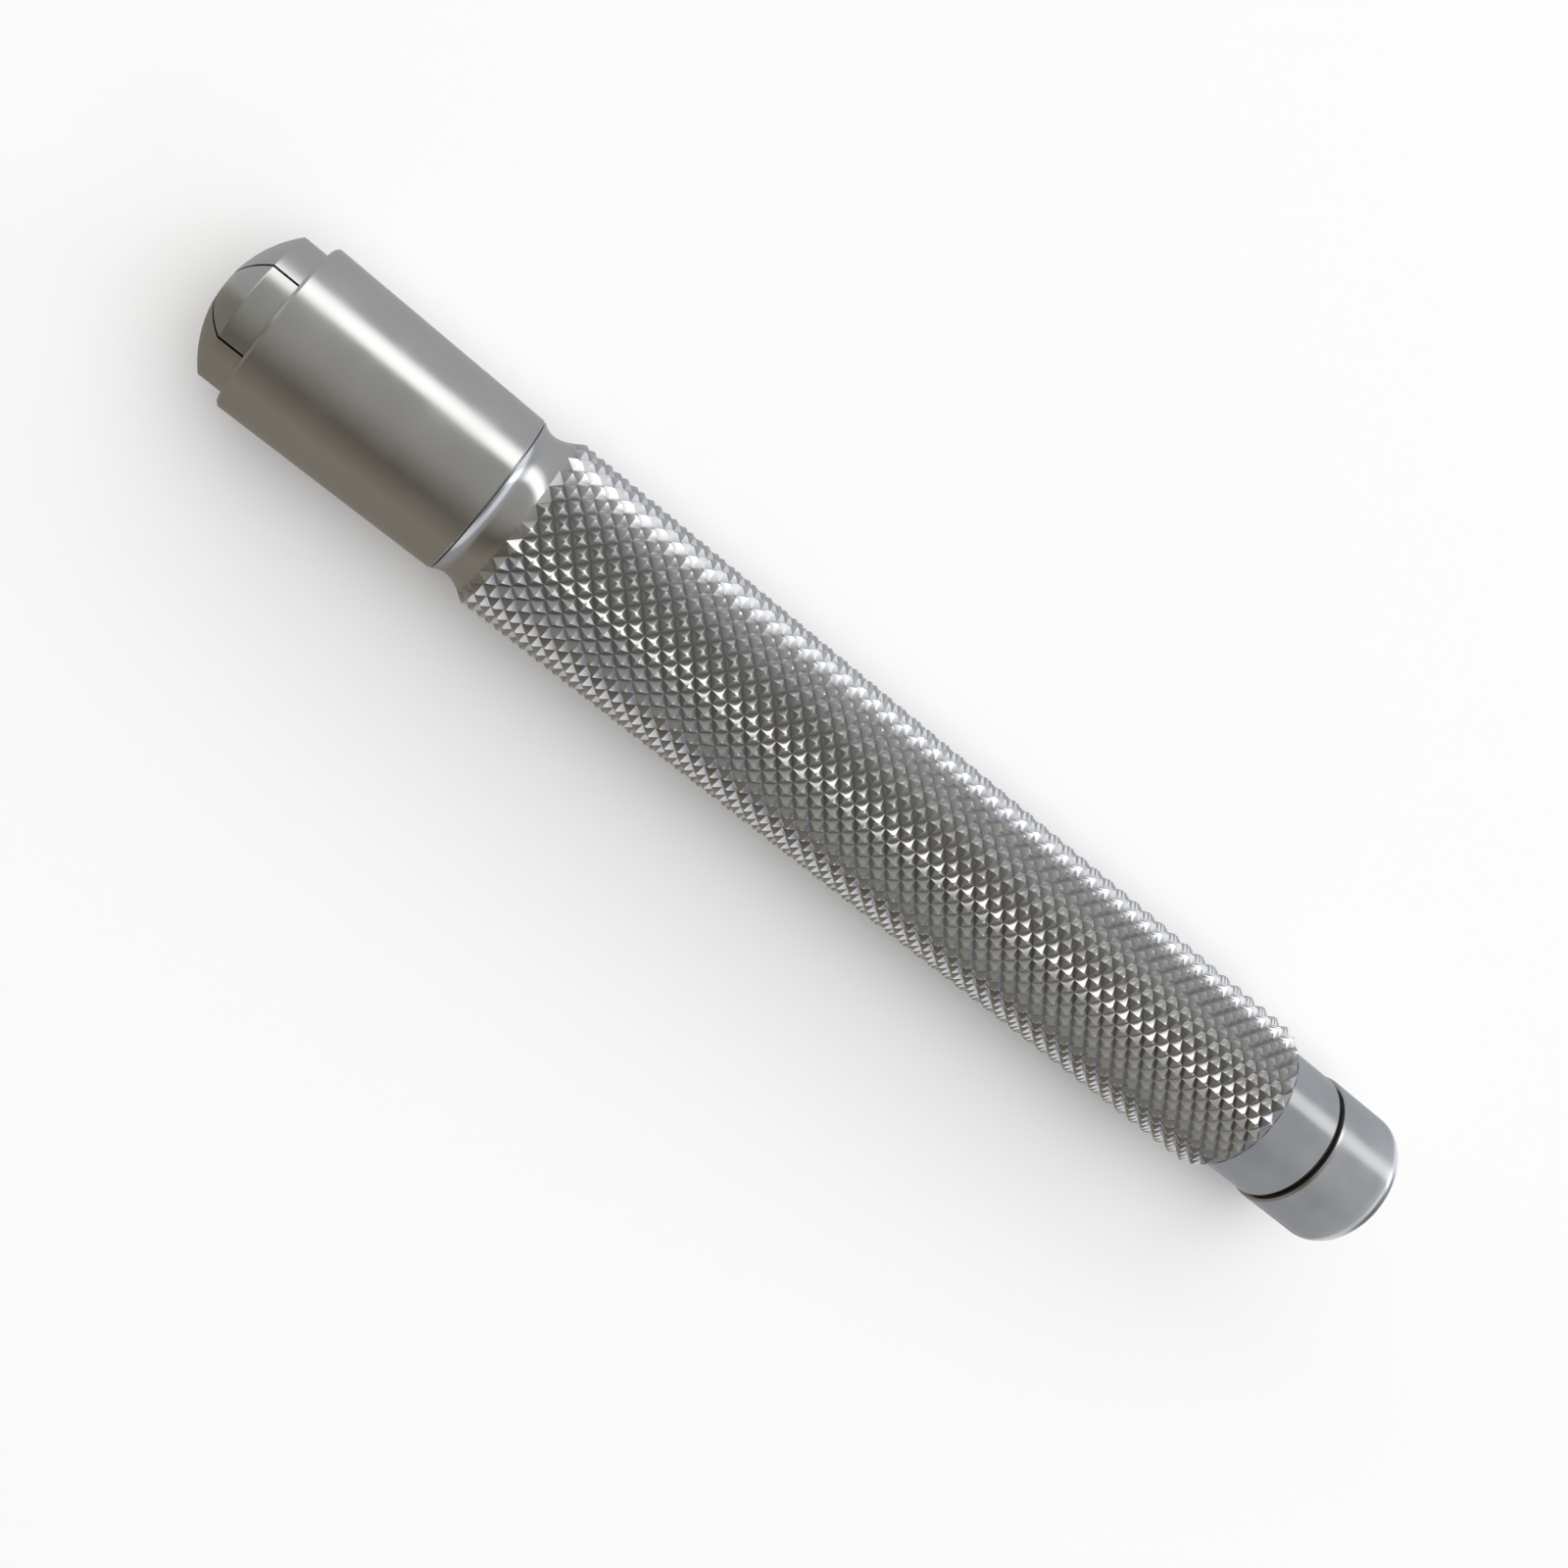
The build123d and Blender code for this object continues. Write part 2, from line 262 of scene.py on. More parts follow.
@dataclass
class Lathe:
    """Turns sections about the tool's axis and puts finished pieces in the scene."""

    steps: int = 208
    longest_facet: float = 0.45 * MM
    most_cuts: int = 60
    smooth_below: float = math.radians(32)
    materials: dict[Slot, bpy.types.Material] = field(default_factory=dict)

    def wire(self, section: Section, closed: bool = True) -> bmesh.types.BMesh:
        """Draw a section as a wire above the tool's axis.

        Args:
            section: points as (x, radius) in metres.
            closed: whether the last point joins the first.

        Returns:
            A mesh of vertices and edges.
        """
        bm = bmesh.new()
        verts = [bm.verts.new((x, 0, AXIS_HEIGHT + radius)) for x, radius in section]
        for one, two in zip(verts, verts[1:]):
            bm.edges.new((one, two))
        if closed:
            bm.edges.new((verts[-1], verts[0]))
        return bm

    def soften(self, bm: bmesh.types.BMesh, corners: Section, radius: float, segments: int = 4) -> None:
        """Round some corners of a wire.

        Args:
            bm: the section's wire.
            corners: the corners' (x, radius) places.
            radius: how far from the corner the rounding starts.
            segments: facets in each rounding.
        """
        places = [Vector((x, 0, AXIS_HEIGHT + r)) for x, r in corners]
        chosen = [v for v in bm.verts if any((v.co - p).length < ON_PLANE for p in places)]
        bmesh.ops.bevel(
            bm, geom=chosen, offset=radius, offset_type="OFFSET", segments=segments,
            profile=0.5, affect="VERTICES", material=-1, clamp_overlap=True,
        )

    def divide(self, bm: bmesh.types.BMesh) -> None:
        """Cut long straight edges, so that shading stays flat up to the corners."""
        for edge in list(bm.edges):
            cuts = int(edge.calc_length() / self.longest_facet)
            if cuts:
                bmesh.ops.subdivide_edges(bm, edges=[edge], cuts=min(cuts, self.most_cuts))

    def spin(self, bm: bmesh.types.BMesh) -> bmesh.types.BMesh:
        """Turn a wire all the way round and face it outwards.

        Args:
            bm: the section's wire.

        Returns:
            The same mesh, now a closed turned solid.
        """
        bmesh.ops.spin(
            bm, geom=bm.verts[:] + bm.edges[:], cent=AXIS_POINT, axis=X_AXIS,
            angle=2 * math.pi, steps=self.steps, use_merge=True, use_duplicate=False,
        )
        bmesh.ops.remove_doubles(bm, verts=bm.verts, dist=WELD)
        bmesh.ops.recalc_face_normals(bm, faces=bm.faces)
        return bm

    def turn(self, section: Section, rounded: Section = (), radius: float = 0.0) -> bmesh.types.BMesh:
        """Make a turned solid from a closed section.

        Args:
            section: the closed section.
            rounded: corners to round.
            radius: their rounding.

        Returns:
            The solid's mesh.
        """
        bm = self.wire(section)
        if rounded:
            self.soften(bm, rounded, radius)
        self.divide(bm)
        return self.spin(bm)

    def finish(self, bm: bmesh.types.BMesh, name: str, body: str, slot: Slot) -> bpy.types.Object:
        """Turn a mesh into a piece that stands for the CAD node of the same name.

        Args:
            bm: the piece's mesh, in place. It is freed.
            name: the CAD node's name.
            body: the body that it rides on.
            slot: its material slot.

        Returns:
            The piece.
        """
        mesh = bpy.data.meshes.new(f"{name}_mesh")
        bm.to_mesh(mesh)
        bm.free()
        mesh.shade_smooth()
        mesh.set_sharp_from_angle(angle=self.smooth_below)
        mesh.materials.append(self.material(slot))
        piece = bpy.data.objects.new(f"{name}_look", mesh)
        bpy.context.scene.collection.objects.link(piece)
        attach(piece, body)
        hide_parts(name)
        LOG.info("%s: %d faces", name, len(mesh.polygons))
        return piece

    def material(self, slot: Slot) -> bpy.types.Material:
        """The finish of a slot, made once."""
        if slot not in self.materials:
            self.materials[slot] = FINISHES[slot].build()
        return self.materials[slot]


def span(node: str) -> tuple[float, float]:
    """Lowest and highest X of a CAD node."""
    low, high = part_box(node)
    return low.x, high.x


def reach(node: str) -> float:
    """Largest radius of a CAD node about the tool's axis."""
    low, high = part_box(node)
    return (high.y - low.y) / 2


# ---- the handle ----


@dataclass
class Handle:
    """Knurled barrel with its neck and collar, and the smooth sleeve on its spigot."""

    diamonds_round: int = 26
    diamond_rows: int = 50
    knurl_depth: float = 0.36 * MM
    flank_width: float = 0.29 * MM
    crown_width: float = 0.11 * MM
    crown_height: float = 0.07 * MM  # rolled diamonds have crowned tops, not flat ones
    knurl_break: float = 0.35 * MM
    lattice_margin: int = 4  # diamonds past the band, so that it is covered up to its corners
    collar_length: float = 4.25 * MM
    collar_radius: float = 4.18 * MM
    neck_length: float = 1.75 * MM
    neck_middle: float = 0.75 * MM
    neck_radius: float = 4.29 * MM
    shoulder_radius: float = 4.54 * MM
    shoulder_break: float = 0.04 * MM
    joint_play: float = 0.04 * MM
    front_bore: float = 3.15 * MM
    rear_bore: float = 3.3 * MM
    bore_step: float = 17.0 * MM
    spigot_radius: float = 3.89 * MM
    spigot_length: float = 5.3 * MM
    sleeve_rear_radius: float = 4.58 * MM
    sleeve_rear_break: float = 0.06 * MM
    mouth_bore: float = 4.10 * MM
    sleeve_bore: float = 2.9 * MM
    sleeve_break: float = 0.15 * MM
    collar_break: float = 0.12 * MM
    weld_ends: float = 1e-6  # metres, to join the band's rims to the turned ends
    hand_wear: float = 0.012 * MM
    turned_shine: float = 0.45  # the turned ends' level on the painted groove shade, a little duller than the crests
    seed: int = 4

    def __post_init__(self) -> None:
        """Work out the stations along the barrel from the frame."""
        self.front, self.collar_end = span("knurled_barrel")
        self.seam = self.front + self.spigot_length
        self.knurl_front = self.seam + self.neck_length
        self.knurl_rear = self.collar_end - self.collar_length
        self.crest = reach("knurled_barrel")
        self.root = self.crest - self.knurl_depth

    def build(self, lathe: Lathe) -> None:
        """Build and dress the barrel and the sleeve."""
        lathe.finish(self.barrel(lathe), "knurled_barrel", Body.HANDLE.value, Slot.SATIN_STEEL)
        lathe.finish(self.sleeve(lathe), "nose_sleeve", Body.HANDLE.value, Slot.TURNED_STEEL)

    def knurl(self, steps: int) -> bmesh.types.BMesh:
        """Roll a flat lattice of cut diamonds into the knurled band.

        Args:
                steps: vertices wanted round each end, to meet the turned parts.

        Returns:
            The band's mesh, open at both ends.
        """
        around = 2 * math.pi * self.crest
        wide = around / self.diamonds_round
        length = self.knurl_rear - self.knurl_front
        bm = self.lattice(length / self.diamond_rows, wide)
        height = bm.verts.layers.float.new("knurl_height")
        for end in (-length / 2, length / 2):
            bmesh.ops.bisect_plane(
                bm, geom=bm.verts[:] + bm.edges[:] + bm.faces[:], dist=WELD,
                plane_co=(end, 0, 0), plane_no=(math.copysign(1, end), 0, 0), clear_outer=True,
            )
        shift = wide / 8  # keeps the cut off the diamonds' middles
        spare = [f for f in bm.faces if not -around / 2 <= f.calc_center_median().y + shift < around / 2]
        bmesh.ops.delete(bm, geom=spare, context="FACES")
        rims = [e for e in bm.edges if all(abs(abs(v.co.x) - length / 2) < ON_PLANE for v in e.verts)]
        bmesh.ops.subdivide_edges(bm, edges=rims, cuts=steps // self.diamonds_round - 1)

        base = set(bm.verts)
        whole = [f for f in bm.faces if len(f.verts) == 4]  # the halves at the ends stay flat
        bmesh.ops.inset_individual(bm, faces=whole, thickness=self.flank_width, use_even_offset=True)
        flanks = set(bm.verts) - base
        bmesh.ops.inset_individual(bm, faces=whole, thickness=self.crown_width, use_even_offset=True)
        wear = random.Random(self.seed)
        for vert in bm.verts:
            x = (self.knurl_front + self.knurl_rear) / 2 + vert.co.x
            radius = self.root
            if vert not in base:
                top = self.crest - (self.crown_height if vert in flanks else wear.random() * self.hand_wear)
                radius = min(top, self.broken_end(x))
            # this height drives the finish's painted groove shade
            vert[height] = (radius - self.root) / self.knurl_depth
            angle = vert.co.y / self.crest
            vert.co = (x, -radius * math.sin(angle), AXIS_HEIGHT + radius * math.cos(angle))
        return bm

    def lattice(self, long: float, wide: float) -> bmesh.types.BMesh:
        """Lay out a flat lattice of diamonds that overlaps the band on every side.

        Args:
            long: a diamond's length along the barrel.
            wide: a diamond's width around it.

        Returns:
            The flat mesh, with one face to a diamond.
        """
        bm = bmesh.new()
        across = self.diamonds_round + self.diamond_rows + self.lattice_margin
        bmesh.ops.create_grid(bm, x_segments=across, y_segments=across, size=across / 2)
        bmesh.ops.rotate(bm, verts=bm.verts, cent=(0, 0, 0), matrix=Matrix.Rotation(math.pi / 4, 3, "Z"))
        diagonal = math.sqrt(2)
        bmesh.ops.scale(bm, verts=bm.verts, vec=(long / diagonal, wide / diagonal, 1))
        return bm

    def broken_end(self, x: float) -> float:
        """Largest radius that the ends' chamfers leave at a station."""
        from_end = min(x - self.knurl_front, self.knurl_rear - x)
        return max(self.root, min(self.crest, self.root + from_end * self.knurl_depth / self.knurl_break))

    def barrel(self, lathe: Lathe) -> bmesh.types.BMesh:
        """Weld the turned ends and the bore to the knurled band.

        Returns:
            The barrel's closed mesh.
        """
        bm = self.knurl(lathe.steps)
        ends = self.turned_ends(lathe)
        height = ends.verts.layers.float.new("knurl_height")
        # the turned ends sit part way up the painted groove shade
        for vert in ends.verts:
            vert[height] = self.turned_shine
        spare = bpy.data.meshes.new("barrel_ends")
        ends.to_mesh(spare)
        ends.free()
        bm.from_mesh(spare)
        bpy.data.meshes.remove(spare)
        bmesh.ops.remove_doubles(bm, verts=bm.verts, dist=self.weld_ends)
        bmesh.ops.recalc_face_normals(bm, faces=bm.faces)
        LOG.info("barrel: %d open edges", sum(e.is_boundary for e in bm.edges))
        return bm

    def neck(self, steps: int = 12) -> list[tuple[float, float]]:
        """Draw the hollow neck, as a parabola on each side of its narrowest place.

        Args:
            steps: points on each side.

        Returns:
            Points as (x, radius), from the shoulder to the knurl's root.
        """
        low = self.seam + self.neck_middle
        front = self.seam + self.joint_play + self.shoulder_break

        def side(end: float, edge: float, parts: Sequence[float]) -> list[tuple[float, float]]:
            """Points on one side, at the given parts of the way out to its end."""
            rise = edge - self.neck_radius
            return [(low + (end - low) * part, self.neck_radius + rise * part**2) for part in parts]

        down = [1 - n / steps for n in range(steps + 1)]
        up = down[-2::-1]  # without the narrowest place, which the first side has
        return side(front, self.shoulder_radius, down) + side(self.knurl_front, self.root, up)

    def turned_ends(self, lathe: Lathe) -> bmesh.types.BMesh:
        """Turn everything but the knurl: collar, bore, spigot and neck.

        Returns:
            An open shell with one rim at each end of the knurl.
        """
        shoulder = self.seam + self.joint_play
        bm = lathe.wire([
            (self.knurl_rear, self.root),
            (self.knurl_rear, self.collar_radius),
            (self.collar_end - self.collar_break, self.collar_radius),
            (self.collar_end, self.collar_radius - self.collar_break),
            (self.collar_end, self.rear_bore),
            (self.bore_step, self.rear_bore),
            (self.bore_step, self.front_bore),
            (self.front, self.front_bore),
            (self.front, self.spigot_radius),
            (shoulder, self.spigot_radius),
            (shoulder, self.shoulder_radius - self.shoulder_break),
            *self.neck(),
        ], closed=False)
        lathe.divide(bm)
        return lathe.spin(bm)

    def sleeve(self, lathe: Lathe) -> bmesh.types.BMesh:
        """Turn the nose sleeve with the closing taper in its mouth.

        Returns:
            The sleeve's mesh.
        """
        mouth, rear = span("nose_sleeve")
        outer = reach("nose_sleeve")
        seat = self.spigot_radius + PRESS_PLAY
        taper_length = (self.mouth_bore - self.sleeve_bore) / math.tan(TAPER)
        return lathe.turn([
            (mouth, self.mouth_bore),
            (mouth, outer - self.sleeve_break),
            (mouth + self.sleeve_break, outer),
            (rear - self.sleeve_rear_break, self.sleeve_rear_radius),
            (rear, self.sleeve_rear_radius - self.sleeve_rear_break),
            (rear, seat),
            (self.front, seat),
            (self.front, self.sleeve_bore),
            (mouth + taper_length, self.sleeve_bore),
        ])


# ---- the collet ----


@dataclass
class Collet:
    """Six sprung jaws with a domed nose, and the stop ring and spring washer; the stem and the rod that
    draws the jaws in stay as CAD nodes.
    """

    jaws: int = 6
    slit: float = 0.12 * MM
    nose_radius: float = 4.06 * MM
    nose_cylinder: float = 1.4 * MM
    dome_height: float = 1.5 * MM
    grip_radius: float = 1.0 * MM
    grip_chamfer: float = 0.2 * MM
    grip_depth: float = 9.0 * MM
    finger_radius: float = 2.1 * MM
    finger_bore: float = 1.3 * MM
    edge_round: float = 0.05 * MM
    dome_steps: int = 14
    wedge_steps: int = 30
    wedge_overlap: float = math.radians(8)
    bore_flare: float = 0.3 * MM  # length over which the grip opens into the fingers' bore
    stop_ring_hole: float = 1.0 * MM
    washer_hole: float = 1.6 * MM
    ring_break: float = 0.05 * MM

    def __post_init__(self) -> None:
        """Work out the dome's sphere and its stations."""
        self.sphere = (self.nose_radius**2 + self.dome_height**2) / (2 * self.dome_height)
        lip = self.grip_radius + self.grip_chamfer
        self.tip = span("jaw_1")[0] - self.sag(lip)
        self.edge = self.tip + self.dome_height
        self.mouth = self.edge + self.nose_cylinder

    def sag(self, radius: float) -> float:
        """How far the dome has fallen back at a radius."""
        return self.sphere - math.sqrt(self.sphere**2 - radius**2)

    def build(self, lathe: Lathe) -> None:
        """Build and dress the jaws, the stop ring and the spring washer."""
        self.build_jaws(lathe)
        body = Body.COLLET.value
        for name, hole in (("stop_ring", self.stop_ring_hole), ("spring_washer", self.washer_hole)):
            lathe.finish(self.ring(lathe, name, hole), name, body, Slot.SPRING_STEEL)

    def jaw_section(self) -> list[tuple[float, float]]:
        """The jaw's section, from the lip of its bore over the dome and back along the finger."""
        lip = self.grip_radius + self.grip_chamfer
        dome = []
        for n in range(self.dome_steps + 1):
            radius = lip + (self.nose_radius - lip) * n / self.dome_steps
            dome.append((self.tip + self.sag(radius), radius))
        root = span("jaw_1")[1]
        grip_end = self.tip + self.grip_depth
        cone_end = self.mouth + (self.nose_radius - self.finger_radius) / math.tan(TAPER)
        return [
            *dome,
            (self.mouth, self.nose_radius),
            (cone_end, self.finger_radius),
            (root, self.finger_radius),
            (root, self.finger_bore),
            (grip_end + self.bore_flare, self.finger_bore),
            (grip_end, self.grip_radius),
            (dome[0][0] + self.grip_chamfer, self.grip_radius),
        ]

    def build_jaws(self, lathe: Lathe) -> None:
        """Sweep one wedge of the nose and place it six times round the axis."""
        share = 2 * math.pi / self.jaws
        for index in range(self.jaws):
            bm = lathe.wire(self.jaw_section())
            lathe.soften(bm, [(self.edge, self.nose_radius)], self.edge_round)
            lathe.divide(bm)
            bmesh.ops.rotate(
                bm, verts=bm.verts, cent=AXIS_POINT,
                matrix=Matrix.Rotation(-(share / 2 + self.wedge_overlap), 3, "X"),
            )
            bmesh.ops.spin(
                bm, geom=bm.verts[:] + bm.edges[:], cent=AXIS_POINT, axis=X_AXIS,
                angle=share + 2 * self.wedge_overlap, steps=self.wedge_steps,
                use_merge=False, use_duplicate=False,
            )
            for side in (-1, 1):
                self.cut_slit(bm, side * share / 2)
            bmesh.ops.remove_doubles(bm, verts=bm.verts, dist=WELD)
            bmesh.ops.recalc_face_normals(bm, faces=bm.faces)
            bmesh.ops.rotate(
                bm, verts=bm.verts, cent=AXIS_POINT, matrix=Matrix.Rotation(index * share, 3, "X"),
            )
            name = f"jaw_{index + 1}"
            lathe.finish(bm, name, name, Slot.JAW_STEEL)

    def cut_slit(self, bm: bmesh.types.BMesh, angle: float) -> None:
        """Saw one side of a jaw flat, half a slit away from the axis plane, and close it.

        Args:
            bm: the jaw's mesh.
            angle: the slit's angle from the jaw's middle.
        """
        turn = Matrix.Rotation(angle, 3, "X")
        outward = turn @ Vector((0, -math.copysign(1, angle), 0))
        bmesh.ops.bisect_plane(
            bm, geom=bm.verts[:] + bm.edges[:] + bm.faces[:], dist=1e-9,
            plane_co=AXIS_POINT - outward * self.slit / 2, plane_no=outward, clear_outer=True,
        )
        rim = [e for e in bm.edges if e.is_boundary
               and all(abs((v.co - AXIS_POINT).dot(outward) + self.slit / 2) < ON_PLANE for v in e.verts)]
        bmesh.ops.holes_fill(bm, edges=rim, sides=0)

    def ring(self, lathe: Lathe, node: str, hole: float) -> bmesh.types.BMesh:
        """Turn a flat ring in a CAD ring's place."""
        front, rear = span(node)
        outer = reach(node)
        return lathe.turn([
            (front, hole),
            (front, outer - self.ring_break),
            (front + self.ring_break, outer),
            (rear - self.ring_break, outer),
            (rear, outer - self.ring_break),
            (rear, hole),
        ])


# ---- the knob ----


@dataclass
class Knob:
    """Rounded knob with its pressed insert and plug, and the black washer it turns on."""

    rounding: float = 1.15 * MM
    edge_break: float = 0.12 * MM
    insert_radius: float = 3.0 * MM
    room_radius: float = 2.3 * MM
    thread_radius: float = 1.55 * MM
    plug_radius: float = 2.7 * MM
    insert_lead: float = 0.45 * MM  # thread left in front of the knob's face
    small_break: float = 0.1 * MM
    washer_hole: float = 3.35 * MM
    round_segments: int = 14

    def build(self, lathe: Lathe) -> None:
        """Build and dress the knob's pieces and its washer."""
        lathe.finish(self.shell(lathe), "end_knob", Body.KNOB.value, Slot.TURNED_STEEL)
        lathe.finish(self.insert(lathe), "knob_nut", Body.KNOB.value, Slot.BRASS)
        lathe.finish(self.plug(lathe), "knob_plug", Body.KNOB.value, Slot.TURNED_STEEL)
        lathe.finish(self.washer(lathe), "thrust_washer", Body.HANDLE.value, Slot.BLACK_WASHER)

    def shell(self, lathe: Lathe) -> bmesh.types.BMesh:
        """Turn the knob's outside and its stepped bore."""
        front, rear = span("end_knob")
        outer = reach("end_knob")
        insert_end = span("knob_nut")[1]
        plug_front = span("knob_plug")[0]
        bm = lathe.wire([
            (front, self.insert_radius),
            (front, outer - self.edge_break),
            (front + self.edge_break, outer),
            (rear, outer),
            (rear, self.plug_radius),
            (plug_front, self.plug_radius),
            (plug_front, self.room_radius),
            (insert_end, self.room_radius),
            (insert_end, self.insert_radius),
        ])
        lathe.soften(bm, [(rear, outer)], self.rounding, segments=self.round_segments)
        lathe.divide(bm)
        return lathe.spin(bm)

    def insert(self, lathe: Lathe) -> bmesh.types.BMesh:
        """Turn the threaded insert."""
        front, rear = span("knob_nut")
        shoulder = span("end_knob")[0]
        outer = reach("knob_nut")
        room = shoulder - self.insert_lead
        seat = self.insert_radius - PRESS_PLAY
        return lathe.turn([
            (front, self.thread_radius),
            (front, outer - self.small_break),
            (front + self.small_break, outer),
            (shoulder, outer),
            (shoulder, seat),
            (rear, seat),
            (rear, self.room_radius),
            (room, self.room_radius),
            (room, self.thread_radius),
        ])

    def plug(self, lathe: Lathe) -> bmesh.types.BMesh:
        """Turn the plug that closes the knob, with its poles closed."""
        front, rear = span("knob_plug")
        outer = reach("knob_plug")
        bm = lathe.wire([
            (front, 0.0),
            (front, outer),
            (rear - self.small_break, outer),
            (rear, outer - self.small_break),
            (rear, 0.0),
        ], closed=False)
        lathe.divide(bm)
        return lathe.spin(bm)

    def washer(self, lathe: Lathe) -> bmesh.types.BMesh:
        """Turn the recessed washer with soft edges."""
        front, rear = span("thrust_washer")
        outer = reach("thrust_washer")
        corners = [(front, outer), (rear, outer)]
        section = [(front, self.washer_hole), *corners, (rear, self.washer_hole)]
        return lathe.turn(section, corners, self.small_break)


# ---- studio ----


@dataclass(frozen=True)
class Card:
    """One soft card of the surround, seen as a band along the tool."""

    bearing: float  # degrees from straight up, positive towards +Y
    colour: Colour


@dataclass
class Studio:
    """Pale floor, a ring of soft cards that the metal mirrors, one wide lamp, and the camera."""

    floor_size: float = 6.0
    wash_power: float = 7.0
    cards: tuple[Card, ...] = (
        Card(-180, (0.24, 0.22, 0.19)),
        Card(-85, (0.29, 0.26, 0.22)),
        Card(-45, (0.14, 0.12, 0.10)),
        Card(-5, (0.37, 0.36, 0.34)),
        Card(42, (0.42, 0.42, 0.41)),
        Card(50, (1.75, 1.75, 1.75)),
        Card(64, (1.75, 1.75, 1.75)),
        Card(76, (0.52, 0.52, 0.54)),
        Card(180, (0.45, 0.45, 0.45)),
    )
    haze: Colour = (0.45, 0.48, 0.54)
    haze_share: float = 0.6
    haze_from: float = 0.15  # the direction's part along the tool, towards the knob
    haze_full: float = 0.50
    knob_light: float = 2.3  # how much brighter the cards are past the knob
    knob_light_span: tuple[float, float] = (0.62, 0.76)
    end_shade: float = 0.25  # what is left of the light straight past the knob's end
    end_shade_span: tuple[float, float] = (0.86, 0.96)
    floor_grey: float = 0.90
    backdrop_grey: float = 0.86
    backdrop_sides: int = 64
    wash_size: float = 1.2
    wash_place: tuple[float, float, float] = (0.1, 0.2, 0.9)
    lens: float = 39.67
    sensor: float = 36.0
    camera_place: tuple[float, float, float] = (-0.03014, 0.0, 0.09204)
    camera_right: tuple[float, float, float] = (0.7499, 0.6257, 0.2149)
    camera_ahead: tuple[float, float, float] = (0.2931, -0.0230, -0.9558)
    camera_clip: tuple[float, float] = (0.005, 20.0)

    def build(self) -> None:
        """Set the floor, the light and the camera."""
        scene = bpy.context.scene
        scene.view_settings.view_transform = "Standard"
        self.floor()
        self.backdrop()
        self.surround()
        self.wash()
        self.camera()

    def floor(self) -> None:
        """Lay the floor. Its own light is kept out of the metal's mirror, as a matte table would be."""
        bm = bmesh.new()
        bmesh.ops.create_grid(bm, x_segments=1, y_segments=1, size=self.floor_size / 2)
        floor = self.set_piece(bm, "floor", "ShaderNodeBsdfDiffuse", "BSDF", self.floor_grey)
        floor.visible_glossy = False

    def backdrop(self) -> None:
        """Close the studio in with a plain pale wall, which lights nothing and hides the cards behind it."""
        bm = bmesh.new()
        bmesh.ops.create_cone(
            bm, cap_ends=True, segments=self.backdrop_sides,
            radius1=self.floor_size / 2, radius2=self.floor_size / 2, depth=self.floor_size,
        )
        wall = self.set_piece(bm, "backdrop", "ShaderNodeEmission", "Emission", self.backdrop_grey)
        wall.visible_diffuse = False
        wall.visible_glossy = False
        wall.visible_shadow = False

    def set_piece(
        self, bm: bmesh.types.BMesh, name: str, shader: str, result: str, grey: float,
    ) -> bpy.types.Object:
        """Put one plainly painted part of the set in the scene.

        Args:
            bm: its mesh. It is freed.
            name: the object's name.
            shader: the node type of its paint.
            result: the paint's output.
            grey: the paint's grey.

        Returns:
            The object.
        """
        mesh = bpy.data.meshes.new(f"{name}_mesh")
        bm.to_mesh(mesh)
        bm.free()
        piece = bpy.data.objects.new(name, mesh)
        bpy.context.scene.collection.objects.link(piece)
        material = bpy.data.materials.new(f"pale_{name}")
        material.use_nodes = True
        nodes = Nodes(material.node_tree)
        paint = nodes.add(shader)
        paint.inputs["Color"].default_value = (grey, grey, grey, 1)
        output = nodes.add("ShaderNodeOutputMaterial")
        nodes.join(paint.outputs[result], output.inputs["Surface"])
        mesh.materials.append(material)
        return piece

    def surround(self) -> None:
        """Hang the cards: bands along the tool, hazed to the rear and brighter just past the knob."""
        world = bpy.data.worlds.new("studio_surround")
        world.use_nodes = True
        bpy.context.scene.world = world
        nodes = Nodes(world.node_tree)
        place = nodes.add("ShaderNodeTexCoord")
        split = nodes.add("ShaderNodeSeparateXYZ")
        nodes.join(place.outputs["Generated"], split.inputs["Vector"])
        bearing = nodes.add("ShaderNodeMath", operation="ARCTAN2")
        nodes.join(split.outputs["Y"], bearing.inputs[0])
        nodes.join(split.outputs["Z"], bearing.inputs[1])
        turn = nodes.add("ShaderNodeMapRange")
        turn.inputs["From Min"].default_value = -math.pi
        turn.inputs["From Max"].default_value = math.pi
        nodes.join(bearing.outputs["Value"], turn.inputs["Value"])
        ramp = self.ramp(nodes)
        nodes.join(turn.outputs["Result"], ramp.inputs["Fac"])

        rear = nodes.add("ShaderNodeMapRange")
        rear.inputs["From Min"].default_value = self.haze_from
        rear.inputs["From Max"].default_value = self.haze_full
        rear.inputs["To Max"].default_value = self.haze_share
        nodes.join(split.outputs["X"], rear.inputs["Value"])
        cool = nodes.add("ShaderNodeMix", data_type="RGBA")
        cool.inputs["B"].default_value = (*self.haze, 1)
        nodes.join(rear.outputs["Result"], cool.inputs["Factor"])
        nodes.join(ramp.outputs["Color"], cool.inputs["A"])

        strength = nodes.add("ShaderNodeMath", operation="MULTIPLY")
        fades = ((self.knob_light_span, self.knob_light), (self.end_shade_span, self.end_shade))
        for socket, (reach_x, change) in enumerate(fades):
            fade = nodes.add("ShaderNodeMapRange", interpolation_type="SMOOTHSTEP")
            fade.inputs["From Min"].default_value, fade.inputs["From Max"].default_value = reach_x
            fade.inputs["To Min"].default_value = 1.0
            fade.inputs["To Max"].default_value = change
            nodes.join(split.outputs["X"], fade.inputs["Value"])
            nodes.join(fade.outputs["Result"], strength.inputs[socket])

        glow = nodes.add("ShaderNodeBackground")
        nodes.join(cool.outputs["Result"], glow.inputs["Color"])
        nodes.join(strength.outputs["Value"], glow.inputs["Strength"])
        output = nodes.add("ShaderNodeOutputWorld")
        nodes.join(glow.outputs["Background"], output.inputs["Surface"])

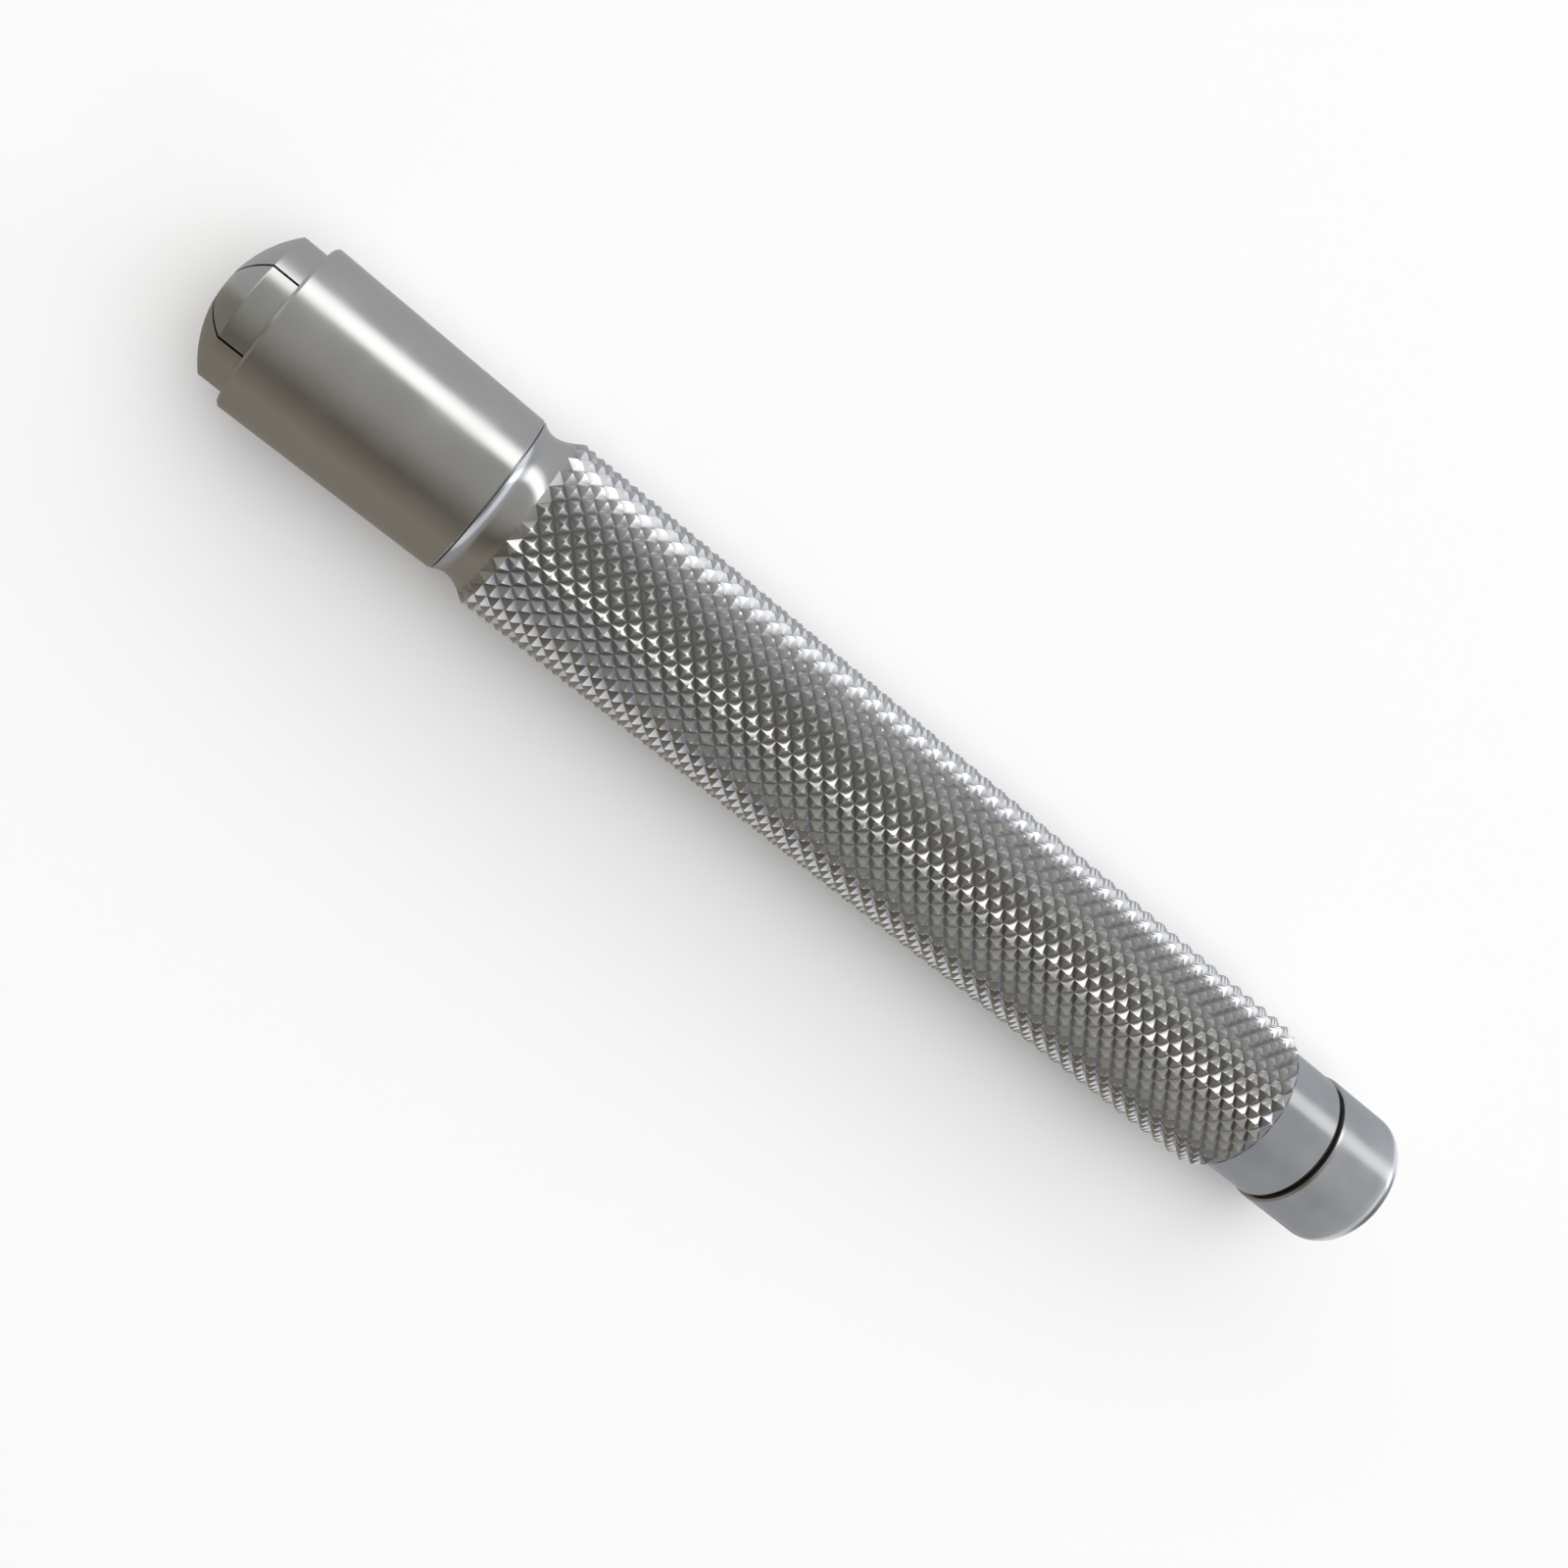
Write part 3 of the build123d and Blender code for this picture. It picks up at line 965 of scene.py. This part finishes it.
    def ramp(self, nodes: Nodes) -> bpy.types.Node:
        """Blend the cards into each other round the tool.

        Args:
            nodes: the world's nodes.

        Returns:
            The colour ramp.
        """
        ramp = nodes.add("ShaderNodeValToRGB")
        stops = ramp.color_ramp.elements
        while len(stops) > 1:
            stops.remove(stops[-1])
        for number, card in enumerate(self.cards):
            place = (card.bearing + 180) / 360
            stop = stops[0] if number == 0 else stops.new(place)
            stop.position = place
            stop.color = (*card.colour, 1)
        return ramp

    def wash(self) -> None:
        """Hang a wide soft lamp that whitens the floor."""
        lamp = bpy.data.lights.new("floor_wash", "AREA")
        lamp.shape = "DISK"
        lamp.size = self.wash_size
        lamp.energy = self.wash_power
        holder = bpy.data.objects.new("floor_wash", lamp)
        holder.location = self.wash_place
        holder.rotation_euler = (Vector((0, 0, 0)) - holder.location).to_track_quat("-Z", "Y").to_euler()
        holder.visible_glossy = False
        bpy.context.scene.collection.objects.link(holder)

    def camera(self) -> None:
        """Stand the camera over the front half of the tool, rolled so that the tool lies on the diagonal."""
        right = Vector(self.camera_right).normalized()
        ahead = Vector(self.camera_ahead)
        ahead = (ahead - right * ahead.dot(right)).normalized()
        up = right.cross(ahead)
        data = bpy.data.cameras.new("camera")
        data.lens = self.lens
        data.sensor_width = self.sensor
        data.clip_start, data.clip_end = self.camera_clip
        camera = bpy.data.objects.new("camera", data)
        turned = Matrix((right, up, -ahead)).transposed().to_4x4()
        camera.matrix_world = Matrix.Translation(self.camera_place) @ turned
        bpy.context.scene.collection.objects.link(camera)
        bpy.context.scene.camera = camera


def dress_cad_nodes(lathe: Lathe) -> None:
    """Give every CAD node its finish. Those that no piece replaces stay in the scene."""
    slots = {part["node"]: Slot(part["material_slot"]) for part in frame["record"]["subparts"]}
    for name, node in frame["nodes"].items():
        node.data.materials.clear()
        node.data.materials.append(lathe.material(slots[name]))


def main() -> None:
    """Build the tool and its studio."""
    logging.basicConfig(level=logging.INFO, format="%(message)s")
    lathe = Lathe()
    dress_cad_nodes(lathe)
    builders: tuple[Callable[[Lathe], None], ...] = (Handle().build, Collet().build, Knob().build)
    for builder in builders:
        builder(lathe)
    Studio().build()


if __name__ == "__main__":
    main()
